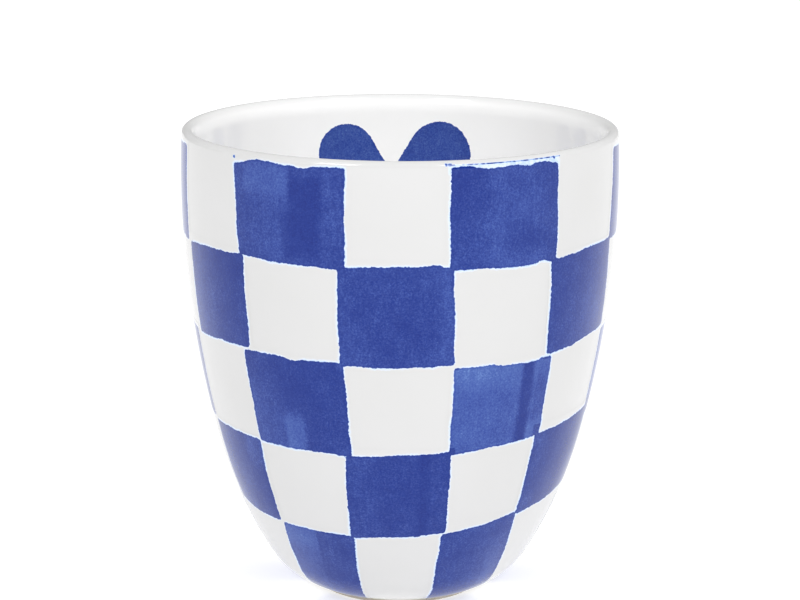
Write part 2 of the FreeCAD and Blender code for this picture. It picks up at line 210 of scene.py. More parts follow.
def coat_edge(azimuth):
    """Return the rings of the rounded edge beside the foot, where the coat meets the clay."""
    turns = np.radians(np.linspace(90, 0, 5)[:-1])
    flatness = 0.6
    rings = []
    for turn in turns:
        lift = -GLAZE * math.sin(turn)
        reach = OUTSIDE["distance"][-1] + GLAZE * math.cos(turn) * flatness
        rings.append(wall_points(OUTSIDE, azimuth, np.full_like(azimuth, reach), lift))
    return rings


def coat_outside(azimuth):
    """Return the rings of the coat from the foot up to the crown of the lip."""
    lip_end = LIP_ROUND * math.radians(90)
    wall = even_steps(OUTSIDE["distance"][-1], lip_end, WALL_STEP)
    lip = even_steps(lip_end, 0, LIP_STEP)[1:]
    return [wall_points(OUTSIDE, azimuth, np.full_like(azimuth, distance))
            for distance in np.concatenate([wall, lip])]


def coat_inside(azimuth):
    """Return the rings of the coat from the lip down to the floor and nearly to its middle."""
    roll_end = (LIP_ROUND * math.radians(ROLL_START - 90)
                + LIP_ROLL * math.radians(180 + ROLL_LEAN - ROLL_START))
    lip = even_steps(0, roll_end, LIP_STEP)[1:]
    wall = even_steps(roll_end, INSIDE["distance"][-1], WALL_STEP)[1:]
    rings = [wall_points(INSIDE, azimuth, np.full_like(azimuth, distance))
             for distance in np.concatenate([lip, wall])]
    turn = np.radians(azimuth)
    floor_height = np.full_like(azimuth, INSIDE["height"][-1])
    for radius in even_steps(INSIDE["radius"][-1], 0, FLOOR_STEP)[1:-1]:
        ring = [radius * np.sin(turn), -radius * np.cos(turn), floor_height]
        rings.append(MM * np.stack(ring, axis=-1))
    return rings


def make_glaze_coat(material):
    """Build the white coat: outside from the foot, over the lip, inside to the floor."""
    columns = COAT_COLUMNS
    azimuth = np.linspace(0, 360, columns, endpoint=False)
    outer = coat_edge(azimuth) + coat_outside(azimuth)
    rings = outer + coat_inside(azimuth)
    points = np.array(rings).reshape(-1, 3)
    faces = grid_faces(len(rings), columns, closed=True)[:, ::-1].tolist()
    centre = len(points)
    points = np.concatenate([points, [[0, 0, MM * INSIDE["height"][-1]]]])
    start = centre - columns
    faces += [[centre, start + k, start + (k + 1) % columns] for k in range(columns)]
    # The inside white, painted brighter as painted light, starts gradually from just before the
    # crown.
    inside_starts, inside_full = len(outer) - 3, len(outer) + 12
    inner_share = soft_step(np.arange(len(rings)), inside_starts, inside_full)
    inner_share = np.append(np.repeat(inner_share, columns), 1.0)
    coat = make_object("glaze_coat", points, faces, {"inner_share": inner_share})
    coat.data.materials.append(material)
    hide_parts("white_glaze_coat")
    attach(coat, "root")


# ------------------------------------------------------------- painted squares

# How far the hand-painted edges stray from the even grid, in half steps.  The
# values were typed by hand, but in effect they round a table that a measuring
# script had made.  left and right give degrees to the right, top and bottom
# millimetres down, both halfway along the edge.  A slant is how much further the
# lower or the right end of the edge strays.  The other squares stray by chance.
STRAY_EDGES = {
    (1, -90): dict(right=5.0),
    (1, -30): dict(left=1.5, left_slant=1.5, right=2.5, top_slant=-1.0, bottom_slant=0.5),
    (1, 30): dict(left=-2.0, right=-2.0, top=-0.5, top_slant=0.5, bottom=0.5, bottom_slant=0.5),
    (1, 90): dict(left=-4.5, left_slant=-2.0, top=0.5),
    (2, -60): dict(left=7.0, right=3.5, top_slant=-1.0, bottom_slant=-0.5),
    (2, 0): dict(left=0.5, right=-0.5, right_slant=1.0, top=-0.5, top_slant=-0.5, bottom=0.5),
    (2, 60): dict(left=-3.0, left_slant=1.0, right=-3.5, right_slant=2.0, top_slant=-0.5,
                  bottom_slant=-1.5),
    (3, -90): dict(right=4.0),
    (3, -30): dict(left=1.5, left_slant=1.0, right=2.0, right_slant=1.0, bottom=0.5),
    (3, 30): dict(right=-0.5, top=1.0, top_slant=0.5, bottom=-0.5, bottom_slant=-1.5),
    (3, 90): dict(left=-2.5),
    (4, -60): dict(left=5.0, right=1.5, top=0.5, bottom_slant=1.0),
    (4, 0): dict(left_slant=-1.0, right=1.0, right_slant=1.0, top_slant=-1.0, bottom=0.5,
                 bottom_slant=-1.0),
    (4, 60): dict(left=-2.0, right=0.5, top=-2.0, top_slant=-1.5, bottom=-2.5, bottom_slant=-2.0),
    (5, -30): dict(left=-0.5, left_slant=-5.5, right=-0.5, right_slant=-2.0, top=0.5),
    (5, 30): dict(left=0.5, left_slant=1.0, right=1.5, right_slant=6.0, top=-1.0, top_slant=-2.5),
}

# Where one brush stroke ends and the next begins, as a share of the width, how
# far the edge then steps down at the top and at the bottom in millimetres, and
# how wide the step is.
STROKE_STEPS = {
    (1, -30): ((0.15, -0.85, 0.0, 0.12), (0.41, 0.60, 0.1, 0.12), (0.60, 0.65, 0.0, 0.05),
               (0.71, -0.45, -0.1, 0.05)),
    (1, 30): ((0.22, 0.5, 0.0, 0.10), (0.42, -0.5, 0.0, 0.10), (0.62, 0.35, 0.0, 0.05),
              (0.73, -0.4, 0.0, 0.03), (0.80, 0.0, -0.5, 0.02), (0.91, 0.3, 0.4, 0.04)),
    (2, 0): ((0.45, -0.1, 0.0, 0.02), (0.83, 0.0, -0.3, 0.02), (0.89, 0.5, 0.0, 0.02)),
    (3, -30): ((0.22, 0.0, -0.1, 0.02), (0.47, 0.3, -0.1, 0.02), (0.60, -0.3, 0.1, 0.02),
               (0.85, 0.0, 0.2, 0.02)),
    (3, 30): ((0.40, 0.2, 0.0, 0.02), (0.68, 0.1, 0.0, 0.02), (0.86, -0.4, 0.1, 0.02)),
    (4, 0): ((0.30, 0.0, -0.1, 0.02), (0.72, 0.0, -0.1, 0.02)),
    (5, -30): ((0.38, 0.2, 0.0, 0.02), (0.70, -0.1, 0.0, 0.02)),
}

# Brush zones of the squares at the front: (left, right, top, bottom) as shares
# of the square, how much thinner (-) or thicker (+) the paint is, and how soft
# the upright and the level borders of the zone are.
BRUSH_ZONES = {
    (1, -30): ((-0.2, 0.54, -0.2, 1.2, -0.03, 0.02, 0.1), (0.1, 0.54, 0.0, 0.3, -0.13, 0.02, 0.1),
               (0.28, 0.42, 0.2, 1.2, -0.04, 0.05, 0.15), (0.54, 0.82, 0.1, 0.5, 0.24, 0.03, 0.1),
               (0.48, 0.78, 0.5, 0.95, 0.22, 0.06, 0.1)),
    (1, 30): ((-0.2, 0.35, -0.2, 0.5, 0.10, 0.12, 0.2), (0.3, 0.9, 0.25, 1.2, -0.10, 0.15, 0.2),
              (0.55, 0.85, 0.6, 0.85, 0.16, 0.12, 0.12), (0.3, 0.7, -0.2, 0.15, -0.10, 0.1, 0.1)),
    (2, -60): ((0.55, 1.2, -0.2, 0.3, 0.10, 0.10, 0.1), (-0.2, 0.5, 0.4, 1.2, -0.08, 0.15, 0.2)),
    (2, 0): ((0.89, 1.2, -0.2, 1.2, -0.08, 0.02, 0.1), (0.2, 0.8, 0.3, 0.9, 0.06, 0.15, 0.2),
             (-0.2, 0.3, 0.5, 1.2, -0.06, 0.1, 0.2)),
    (2, 60): ((-0.2, 0.6, -0.2, 0.6, 0.04, 0.2, 0.2), (0.4, 0.9, 0.4, 1.2, -0.06, 0.1, 0.2)),
    (3, -30): ((0.36, 0.57, 0.6, 1.2, -0.26, 0.03, 0.12), (-0.2, 0.36, 0.3, 1.2, -0.10, 0.08, 0.2),
               (0.3, 0.7, 0.0, 0.5, 0.08, 0.10, 0.15)),
    (3, 30): ((-0.2, 0.68, -0.2, 0.25, -0.12, 0.06, 0.15), (-0.2, 0.68, -0.2, 1.2, -0.20, 0.04, 0.2),
              (0.8, 1.2, -0.2, 0.25, -0.12, 0.04, 0.1), (0.8, 1.2, -0.2, 1.2, -0.20, 0.04, 0.2),
              (0.8, 1.2, 0.75, 1.2, -0.16, 0.04, 0.1),
              (0.68, 0.8, -0.2, 1.2, 0.10, 0.03, 0.1)),
    (4, -60): ((0.7, 1.2, -0.2, 0.3, -0.18, 0.08, 0.12), (-0.2, 0.7, 0.3, 1.2, -0.05, 0.1, 0.2)),
    (4, 0): ((0.3, 0.8, 0.2, 0.9, 0.05, 0.15, 0.2), (0.70, 0.80, -0.2, 1.2, 0.10, 0.03, 0.1)),
    (4, 60): ((0.2, 0.7, 0.2, 1.2, 0.06, 0.1, 0.2),),
    (5, -30): ((-0.2, 0.50, -0.2, 0.20, -0.20, 0.04, 0.12), (-0.2, 0.50, 0.1, 1.2, -0.10, 0.04, 0.2)),
    (5, 30): ((0.70, 0.95, 0.3, 0.8, -0.14, 0.08, 0.12), (-0.2, 1.2, 0.75, 1.2, 0.16, 0.10, 0.12)),
}

# The guide line above one square, and the dark marks where the brush touched
# down at its ends and above one more corner: (azimuth, depth).
GUIDED_SQUARE = (1, 30)
GUIDE_DEPTH = 0.70
GUIDE_MARKS = ((11.9, 0.60), (12.9, 0.62), (41.6, 0.82), (-44.2, 1.25))

# A distance in millimetres that is too far from the paint to matter.
FAR_AWAY = 9.0

# Waves in the edge of a brush stroke: (length, height) in millimetres.
EDGE_WAVES = ((13.0, 0.08), (5.7, 0.03), (2.3, 0.018), (1.2, 0.012))

# Limits of chance, for what the tables above leave out: how far the edges stray
# in degrees and in millimetres, how far a stroke steps up or down in millimetres,
# where the first stroke ends, where the last one starts at the latest and how
# wide strokes are, as shares of the square's width, and how wide a step is.
CHANCE_TURN = 1.3
CHANCE_LEVEL = 0.5
CHANCE_STEP = 0.2
FIRST_STROKE_END = (0.15, 0.35)
LAST_STROKE_START = 0.93
STROKE_WIDTH = (0.16, 0.34)
STEP_WIDTH = 0.02

# The paint: its usual thickness, how much that changes from stroke to stroke,
# and the rounding of a square's corners in millimetres.
USUAL_PAINT = 0.85
STROKE_CHANGE = 0.04
CORNER_ROUNDING = 0.6

# The patch that carries the paint: how far it reaches past the painted outline,
# more in the top row to hold the guide line, how close it comes to the crown and
# to the foot, how far it lies above the glaze in odd and even rows, so that
# corners that touch don't cut into each other, and for the heart, and how much
# the paint rises.
PAINT_MARGIN = 0.8
TOP_ROW_MARGIN = 1.2
CROWN_GAP = 0.4
FOOT_GAP = 0.05
ODD_ROW_LIFT = 0.012
EVEN_ROW_LIFT = 0.020
HEART_LIFT = 0.014
PAINT_RISE = 0.02


def soft_step(value, low, high):
    """Return 0 below low and 1 above high, with a smooth change between."""
    share = np.clip((value - low) / (high - low), 0, 1)
    return share * share * (3 - 2 * share)


def shaky_line(along, chance):
    """Return the waver of a brushed edge at positions along it, in millimetres."""
    total = np.zeros_like(along)
    for length, height in EDGE_WAVES:
        phase = chance.uniform(0, 2 * math.pi)
        total += height * np.sin(2 * math.pi * along / length + phase)
    return total


def between(ends, share):
    """Return the values between two ends at the given shares of the way."""
    return ends[0] + (ends[1] - ends[0]) * share


class Square:
    """One painted square: its four edges, its brush strokes and its paint."""

    def __init__(self, row, centre):
        self.row = row
        self.centre = centre
        self.seed = 100 * row + int(centre + 180)
        left, right, top, bottom = self.plan_edges()
        half = COLUMN_ANGLE / 2
        self.left = [centre - half + stray for stray in left]
        self.right = [centre + half + stray for stray in right]
        top = [ROW_DEPTHS[row - 1] + stray for stray in top]
        bottom = [ROW_DEPTHS[row] + stray for stray in bottom]
        self.top = distance_at_depth(OUTSIDE, top)
        self.bottom = distance_at_depth(OUTSIDE, bottom)
        self.strokes = self.plan_strokes()

    def plan_edges(self):
        """Return how far both ends of the left, right, top and bottom edges stray."""
        if (self.row, self.centre) in STRAY_EDGES:
            strays = STRAY_EDGES[(self.row, self.centre)]
            edges = []
            for edge in ("left", "right", "top", "bottom"):
                middle = strays.get(edge, 0.0)
                half_slant = strays.get(edge + "_slant", 0.0) / 2
                edges.append((middle - half_slant, middle + half_slant))
            return edges
        chance = random.Random(self.seed + 3)
        return [(chance.uniform(-limit, limit), chance.uniform(-limit, limit))
                for limit in (CHANCE_TURN, CHANCE_TURN, CHANCE_LEVEL, CHANCE_LEVEL)]

    def plan_strokes(self):
        """Return the brush strokes: (place, step at the top, at the bottom, width)."""
        if (self.row, self.centre) in STROKE_STEPS:
            return STROKE_STEPS[(self.row, self.centre)]
        chance = random.Random(self.seed)
        strokes = []
        place = chance.uniform(*FIRST_STROKE_END)
        while place < LAST_STROKE_START:
            top_step = chance.uniform(-CHANCE_STEP, CHANCE_STEP)
            bottom_step = chance.uniform(-CHANCE_STEP, CHANCE_STEP)
            strokes.append((place, top_step, bottom_step, STEP_WIDTH))
            place += chance.uniform(*STROKE_WIDTH)
        return strokes

    def shares(self, azimuth, distance):
        """Return how far across and down the square each place lies, 0 to 1."""
        down = (distance - self.top.mean()) / (self.bottom.mean() - self.top.mean())
        level = np.clip(down, -0.1, 1.1)
        left, right = between(self.left, level), between(self.right, level)
        across = (azimuth - left) / (right - left)
        return across, down, left, right

    def inside_by(self, azimuth, distance):
        """Return how far inside the painted outline each place lies, in millimetres."""
        chance = random.Random(self.seed + 5)
        across, down, left, right = self.shares(azimuth, distance)
        per_degree = math.radians(1) * look_up(OUTSIDE, "radius", distance)
        from_left = (azimuth - left) * per_degree + shaky_line(distance, chance)
        from_right = (right - azimuth) * per_degree + shaky_line(distance, chance)
        along = azimuth * per_degree
        side = np.clip(across, -0.1, 1.1)
        from_top = distance - between(self.top, side) + shaky_line(along, chance)
        from_bottom = between(self.bottom, side) - distance + shaky_line(along, chance)
        for border, top_step, bottom_step, width in self.strokes:
            past = soft_step(across, border - width, border + width)
            from_top = from_top - top_step * past
            from_bottom = from_bottom + bottom_step * past
        sideways = np.minimum(from_left, from_right)
        upright = np.minimum(from_top, from_bottom)
        corner = CORNER_ROUNDING - np.hypot(np.maximum(CORNER_ROUNDING - sideways, 0),
                                            np.maximum(CORNER_ROUNDING - upright, 0))
        return np.minimum(corner, np.minimum(sideways, upright))

    def thickness(self, azimuth, distance):
        """Return the thickness of the paint over the square, about USUAL_PAINT."""
        chance = random.Random(self.seed + 7)
        across, down, _, _ = self.shares(azimuth, distance)
        total = np.full_like(across, USUAL_PAINT)
        for border, _, _, _ in self.strokes:
            change = chance.uniform(-STROKE_CHANGE, STROKE_CHANGE)
            total += change * soft_step(across, border - 0.01, border + 0.01)
        for left, right, top, bottom, change, soft, level_soft in self.zones():
            inside = (soft_step(across, left - soft, left + soft)
                      * soft_step(-across, -right - soft, -right + soft)
                      * soft_step(down, top - level_soft, top + level_soft)
                      * soft_step(-down, -bottom - level_soft, -bottom + level_soft))
            total += change * inside
        return total

    def zones(self):
        """Return the brush zones, listed at the front and by chance elsewhere."""
        if (self.row, self.centre) in BRUSH_ZONES:
            return BRUSH_ZONES[(self.row, self.centre)]
        chance = random.Random(self.seed + 9)
        split = chance.uniform(0.3, 0.7)
        change = chance.uniform(-0.24, -0.08)
        if chance.random() < 0.5:
            return [(-0.2, split, chance.uniform(-0.3, 0.5), 1.2, change, 0.03, 0.15)]
        return [(split, 1.2, -0.2, chance.uniform(0.5, 1.3), change, 0.03, 0.15)]


# Names of the places round the mug by the azimuth of the middle of a column.
PLACE_NAMES = {0: "front", 30: "front_right", 60: "front_right", 90: "right",
               120: "back_right", 150: "back_right", 180: "back",
               -150: "back_left", -120: "back_left", -90: "left",
               -60: "front_left", -30: "front_left"}


def plan_squares():
    """Return all squares by (row, centre azimuth)."""
    squares = {}
    for row in range(1, len(ROW_DEPTHS)):
        for centre in PLACE_NAMES:
            if (centre // COLUMN_ANGLE + row) % 2 == 0:
                squares[(row, centre)] = Square(row, centre)
    return squares


def neighbours(squares, square):
    """Return the square itself and those that touch its corners."""
    found = [square]
    for row in (square.row - 1, square.row + 1):
        for side in (-COLUMN_ANGLE, COLUMN_ANGLE):
            centre = (square.centre + side + 180) % 360 - 180
            centre = 180 if centre == -180 else centre
            if (row, centre) in squares:
                found.append(squares[(row, centre)])
    return found


def turn_near(azimuth, centre):
    """Return azimuths moved by whole turns to lie near a centre."""
    return centre + (azimuth - centre + 180) % 360 - 180


def make_square(squares, square, material):
    """Build one painted square with a margin that fades into the white glaze."""
    margin = TOP_ROW_MARGIN if square.row == 1 else PAINT_MARGIN
    low = max(min(square.top) - margin, CROWN_GAP)
    high = min(max(square.bottom) + margin, OUTSIDE["distance"][-1] - FOOT_GAP)
    rows = even_steps(low, high, PAINT_STEP)
    width = math.radians(COLUMN_ANGLE) * WIDEST_RADIUS + 2 * margin
    columns = len(even_steps(0, width, PAINT_STEP))
    distance = np.repeat(rows[:, None], columns, axis=1)
    _, _, left, right = square.shares(np.zeros_like(distance), distance)
    side = margin / (math.radians(1) * look_up(OUTSIDE, "radius", distance))
    share = np.linspace(0, 1, columns)[None, :]
    azimuth = (left - side) + (right - left + 2 * side) * share
    edge = np.full_like(distance, -FAR_AWAY)
    for other in neighbours(squares, square):
        edge = np.maximum(edge, other.inside_by(turn_near(azimuth, other.centre), distance))
    across, down, _, _ = square.shares(azimuth, distance)
    side_in_mm = 20
    brush = np.stack([across * side_in_mm + square.seed, down * side_in_mm,
                      np.zeros_like(across)], axis=-1)
    base_lift = ODD_ROW_LIFT if square.row % 2 else EVEN_ROW_LIFT
    lift = base_lift + PAINT_RISE * soft_step(edge, -0.1, 0.5)
    points = wall_points(OUTSIDE, azimuth, distance, lift)
    name = "painted_square_row%d_%s" % (square.row, PLACE_NAMES[square.centre])
    values = {"paint_edge": edge, "paint_tone": square.thickness(azimuth, distance),
              "brush_way": brush, **guide_values(square, azimuth, distance)}
    faces = grid_faces(*distance.shape, closed=False).tolist()
    patch = make_object(name, points, faces, values)
    patch.data.materials.append(material)
    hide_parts("blue_square_row%d_%s" % (square.row, PLACE_NAMES[square.centre]))
    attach(patch, "root")


def guide_values(square, azimuth, distance):
    """Return the distances below the guide line and from its marks, and its pale wash.

    The wash fills the gap between the line and the paint, but for a dry stretch
    on the left.
    """
    gap = np.full_like(distance, FAR_AWAY)
    for place, depth in GUIDE_MARKS:
        sideways = (azimuth - place) * math.radians(1) * WIDEST_RADIUS
        gap = np.minimum(gap, np.hypot(sideways, distance - distance_at_depth(OUTSIDE, depth)))
    across, _, _, _ = square.shares(azimuth, distance)
    below = distance - distance_at_depth(OUTSIDE, GUIDE_DEPTH)
    dry = (soft_step(across, 0.08, 0.20) * soft_step(-across, -0.52, -0.44)
           * soft_step(below, 0.40, 0.65))
    level = soft_step(across, -0.03, 0.0) * soft_step(-across, -1.03, -1.0)
    wash = level * soft_step(below, -0.25, 0.1) * soft_step(-below, -2.4, -1.4) * (1 - dry)
    below = np.where(level > 0, below, FAR_AWAY)
    if (square.row, square.centre) != GUIDED_SQUARE:
        below = np.full_like(distance, FAR_AWAY)
        wash = np.zeros_like(distance)
    return {"guide_below": below, "guide_wash": wash, "mark_gap": gap}


# ------------------------------------------------------------------ the heart

# Each half has a shoulder beside the cleft, a widest place and a lobe radius.
# Places are (sideways, depth below the rim) in millimetres; sideways counts to
# the left in the left half.  The whole heart is then shifted sideways.
HEART_LEFT = ((4.9, 10.2), (17.25, 13.5), 6.45)
HEART_RIGHT = ((3.7, 9.9), (17.30, 13.5), 7.15)
HEART_CLEFT = (-0.7, 17.3)
HEART_TIP = (0.0, 38.0)
HEART_FLANK = 32.0
HEART_SHIFT = -1.8
HEART_PAINT = 0.67
HEART_SEED = 77


def arc_between(start, end, radius, count):
    """Return points on the short arc from start to end that bulges to the right of the way."""
    start, end = np.array(start), np.array(end)
    chord = end - start
    length = np.hypot(*chord)
    rise = math.sqrt(radius ** 2 - (length / 2) ** 2)
    centre = (start + end) / 2 + rise * np.array([-chord[1], chord[0]]) / length
    first = math.atan2(*(start - centre)[::-1])
    sweep = 2 * math.asin(length / 2 / radius)
    angles = first + np.linspace(0, sweep, count)
    return centre + radius * np.stack([np.cos(angles), np.sin(angles)], axis=-1)


def heart_half(shoulder, side, lobe_radius):
    """Return one half of the heart from the shoulder of the cleft to the tip."""
    lobe = arc_between(shoulder, side, lobe_radius, 40)
    flank = arc_between(side, HEART_TIP, HEART_FLANK, 40)
    return np.concatenate([lobe, flank[1:]])


def heart_outline():
    """Return the heart's outline as (across, depth) points, once round."""
    right = heart_half(*HEART_RIGHT)
    left = heart_half(*HEART_LEFT)[-2::-1] * (-1, 1)
    return np.concatenate([[HEART_CLEFT], right, left])


def inside_outline(points, outline):
    """Return the signed distance of points from a closed outline, positive inside."""
    nearest = np.full(points.shape[:-1], np.inf)
    crossings = np.zeros(points.shape[:-1], int)
    for start, end in zip(outline, np.roll(outline, -1, axis=0)):
        way = end - start
        share = np.clip(((points - start) @ way) / (way @ way), 0, 1)
        gap = points - start - share[..., None] * way
        nearest = np.minimum(nearest, np.hypot(gap[..., 0], gap[..., 1]))
        spans = (start[1] > points[..., 1]) != (end[1] > points[..., 1])
        drop = way[1] if way[1] else 1e-9
        level = (points[..., 1] - start[1]) / drop
        crossings += spans & (points[..., 0] < start[0] + level * way[0])
    return np.where(crossings % 2 == 1, nearest, -nearest)


def make_heart(material):
    """Build the painted heart on the inner wall opposite the front."""
    outline = heart_outline()
    low = outline.min(axis=0) - PAINT_MARGIN
    high = outline.max(axis=0) + PAINT_MARGIN
    depth, across = np.meshgrid(even_steps(low[1], high[1], PAINT_STEP),
                                even_steps(low[0], high[0], PAINT_STEP), indexing="ij")
    distance = distance_at_depth(INSIDE, depth)
    radius = look_up(INSIDE, "radius", distance)
    azimuth = 180 - np.degrees((across + HEART_SHIFT) / radius)
    waver = 0.6 * shaky_line(across + depth, random.Random(HEART_SEED))
    edge = inside_outline(np.stack([across, depth], axis=-1), outline) + waver
    # The paint is a little thicker on the right and thins towards the tip.
    tone = HEART_PAINT + 0.03 * soft_step(across, -2, 6) - 0.1 * soft_step(depth, 20, 34)
    away_from_squares = 500
    brush = np.stack([across + away_from_squares, depth, np.zeros_like(depth)], axis=-1)
    lift = HEART_LIFT + PAINT_RISE * soft_step(edge, -0.1, 0.5)
    # An inner_share of one gives the heart's margin the inside white, painted brighter as painted
    # light, and keeps the halo off.
    values = {"paint_edge": edge, "paint_tone": tone, "brush_way": brush,
              "guide_below": np.full_like(edge, FAR_AWAY), "guide_wash": np.zeros_like(edge),
              "mark_gap": np.full_like(edge, FAR_AWAY), "inner_share": np.ones_like(edge)}
    points = wall_points(INSIDE, azimuth, distance, lift)
    faces = grid_faces(*depth.shape, closed=False).tolist()
    heart = make_object("painted_heart", points, faces, values)
    heart.data.materials.append(material)
    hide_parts("blue_heart")
    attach(heart, "root")


# ------------------------------------------------------------------- materials

# Colours as linear red, green, blue.  Pairs are the two ends of a slow variation.
# The outside white is painted darker, as painted shade, and the inside white painted brighter, as
# painted light.
SHADED_WHITE_OUTSIDE = ((0.640, 0.639, 0.636), (0.656, 0.655, 0.656))
LIT_WHITE_INSIDE = ((0.935, 0.932, 0.926), (0.950, 0.949, 0.948))
SPECK = (0.42, 0.36, 0.30)
CREAM_CLAY = ((0.66, 0.60, 0.49), (0.77, 0.71, 0.61))
DARK_GRIT = (0.33, 0.26, 0.19)
PALE_FLOOR = ((0.60, 0.60, 0.60), (0.62, 0.62, 0.62))

# The colour of the cobalt paint by its thickness, as shares of the thickest.
THICKEST_PAINT = 1.25
COBALT = ((0.00, (0.70, 0.73, 0.80)), (0.05, (0.66, 0.75, 0.91)), (0.12, (0.46, 0.60, 0.84)),
          (0.26, (0.17, 0.29, 0.60)), (0.42, (0.054, 0.110, 0.38)), (0.56, (0.028, 0.064, 0.312)),
          (0.68, (0.011, 0.036, 0.240)), (0.80, (0.002, 0.024, 0.222)), (1.00, (0.0, 0.014, 0.180)))


class Nodes:
    """A short way to write a material's nodes."""

    def __init__(self, name):
        self.material = bpy.data.materials.new(name)
        self.material.use_nodes = True
        self.tree = self.material.node_tree
        self.shader = self.tree.nodes["Principled BSDF"]

    def add(self, kind, settings=None, **inputs):
        """Add a node; settings are its properties, inputs its sockets by name."""
        node = self.tree.nodes.new(kind)
        for key, value in (settings or {}).items():
            setattr(node, key, value)
        for key, value in inputs.items():
            self.feed(node, key.replace("_", " "), value)
        return node

    def feed(self, node, socket, value):
        """Link or set one input of a node, named or numbered."""
        target = node.inputs[int(socket)] if socket.strip().isdigit() else node.inputs[socket]
        if isinstance(value, bpy.types.NodeSocket):
            self.tree.links.new(value, target)
        else:
            target.default_value = value

    def math(self, operation, first, second=0.0, clamp=False):
        """Return the result of a math node on two numbers or sockets."""
        node = self.tree.nodes.new("ShaderNodeMath")
        node.operation = operation
        node.use_clamp = clamp
        self.feed(node, "0", first)
        self.feed(node, "1", second)
        return node.outputs[0]

    def spread(self, value, low, high, to_low, to_high, smooth=False):
        """Return value mapped from one range to another, held at its ends."""
        node = self.add("ShaderNodeMapRange",
                        {"interpolation_type": "SMOOTHSTEP" if smooth else "LINEAR"},
                        Value=value, From_Min=low, From_Max=high, To_Min=to_low, To_Max=to_high)
        return node.outputs["Result"]

    def place(self):
        """Return the place on the object, in metres."""
        return self.add("ShaderNodeTexCoord").outputs["Object"]

    def noise(self, where, scale, detail=2.0, roughness=0.5):
        """Return a noise value about 0.5 with features of 1 / scale metres."""
        node = self.add("ShaderNodeTexNoise", None, Vector=where, Scale=scale,
                        Detail=detail, Roughness=roughness)
        return node.outputs[0]

    def mix(self, share, first, second):
        """Return a mix of two colours, each a socket or (red, green, blue)."""
        node = self.add("ShaderNodeMix", {"data_type": "RGBA"})
        self.feed(node, "0", share)
        for socket, colour in (("6", first), ("7", second)):
            plain = isinstance(colour, tuple)
            self.feed(node, socket, (*colour, 1) if plain else colour)
        return node.outputs[2]

    def attribute(self, name, output="Fac"):
        """Return a value stored at the points of the mesh."""
        return self.add("ShaderNodeAttribute", {"attribute_name": name}).outputs[output]

    def bump(self, height, distance, strength=1.0):
        """Return a normal tilted by a height map whose full range is distance metres."""
        node = self.add("ShaderNodeBump", None, Height=height, Distance=distance,
                        Strength=strength)
        return node.outputs["Normal"]


def white_glaze_colour(nodes, where):
    """Return the white of the glaze with faint clouds and a few tiny specks.

    Inside the mug the white is painted brighter and outside painted darker: painted light and painted
    shade.
    """
    clouds = nodes.spread(nodes.noise(where, 45.0, 3.0), 0.3, 0.7, 0.0, 1.0)
    outside = nodes.mix(clouds, *SHADED_WHITE_OUTSIDE)
    inside = nodes.mix(clouds, *LIT_WHITE_INSIDE)
    white = nodes.mix(nodes.attribute("inner_share"), outside, inside)
    cells = nodes.add("ShaderNodeTexVoronoi", None, Vector=where, Scale=95.0)
    lot = nodes.add("ShaderNodeSeparateColor", None, Color=cells.outputs["Color"]).outputs[0]
    chosen = nodes.math("GREATER_THAN", lot, 0.90)
    dot = nodes.spread(cells.outputs["Distance"], 0.016, 0.026, 0.55, 0.0)
    return nodes.mix(nodes.math("MULTIPLY", chosen, dot), white, SPECK)


def finish_glossy(nodes, where, colour):
    """Give a glazed surface its gloss: nearly smooth, with a faint orange peel."""
    ripple = nodes.noise(where, 260.0, 2.0)
    gloss = nodes.noise(where, 90.0, 3.0)
    nodes.feed(nodes.shader, "Base Color", colour)
    nodes.feed(nodes.shader, "Roughness", nodes.spread(gloss, 0.3, 0.7, 0.05, 0.10))
    nodes.feed(nodes.shader, "IOR", 1.38)
    nodes.feed(nodes.shader, "Normal", nodes.bump(ripple, 0.00004, 0.5))


def make_white_glaze():
    """Return the material of the white glaze."""
    nodes = Nodes("white_glaze")
    where = nodes.place()
    finish_glossy(nodes, where, white_glaze_colour(nodes, where))
    return nodes.material


def brushed_paint(nodes, where):
    """Return the thickness of the paint: its strokes, its grain and a thicker rim."""
    edge = nodes.attribute("paint_edge")
    tone = nodes.attribute("paint_tone")
    brush = nodes.attribute("brush_way", "Vector")
    hairs = nodes.add("ShaderNodeMapping", None, Vector=brush, Scale=(1.6, 0.14, 1.0))
    grain = nodes.noise(where, 2900.0, 3.0, 0.75)
    mottle = nodes.noise(where, 850.0, 2.0)
    clouds = nodes.noise(where, 230.0, 3.0)
    streaks = nodes.noise(hairs.outputs[0], 1.0, 3.0, 0.6)
    rim = nodes.spread(edge, 0.10, 0.50, 0.10, 0.0, smooth=True)
    thick = nodes.math("ADD", tone, rim)
    # A thin wash is smoother than a full stroke.
    depth = nodes.spread(tone, 0.55, 0.85, 0.45, 1.0)
    for value, reach in ((grain, 0.38), (mottle, 0.06), (clouds, 0.10), (streaks, 0.06)):
        change = nodes.spread(value, 0.2, 0.8, -reach, reach)
        thick = nodes.math("ADD", thick, nodes.math("MULTIPLY", change, depth))
    return thick


def paint_halo(nodes, where, edge):
    """Return the thin paint that bled out round the squares; the heart has none."""
    wide = nodes.spread(edge, -0.60, -0.20, 0.0, 0.055, smooth=True)
    close = nodes.spread(edge, -0.24, -0.02, 0.0, 0.10)
    bleed = nodes.math("ADD", wide, close)
    uneven = nodes.spread(nodes.noise(where, 150.0, 2.0), 0.40, 0.60, 0.25, 1.0)
    outside = nodes.math("SUBTRACT", 1.0, nodes.attribute("inner_share"))
    return nodes.math("MULTIPLY", nodes.math("MULTIPLY", outside, uneven), bleed)


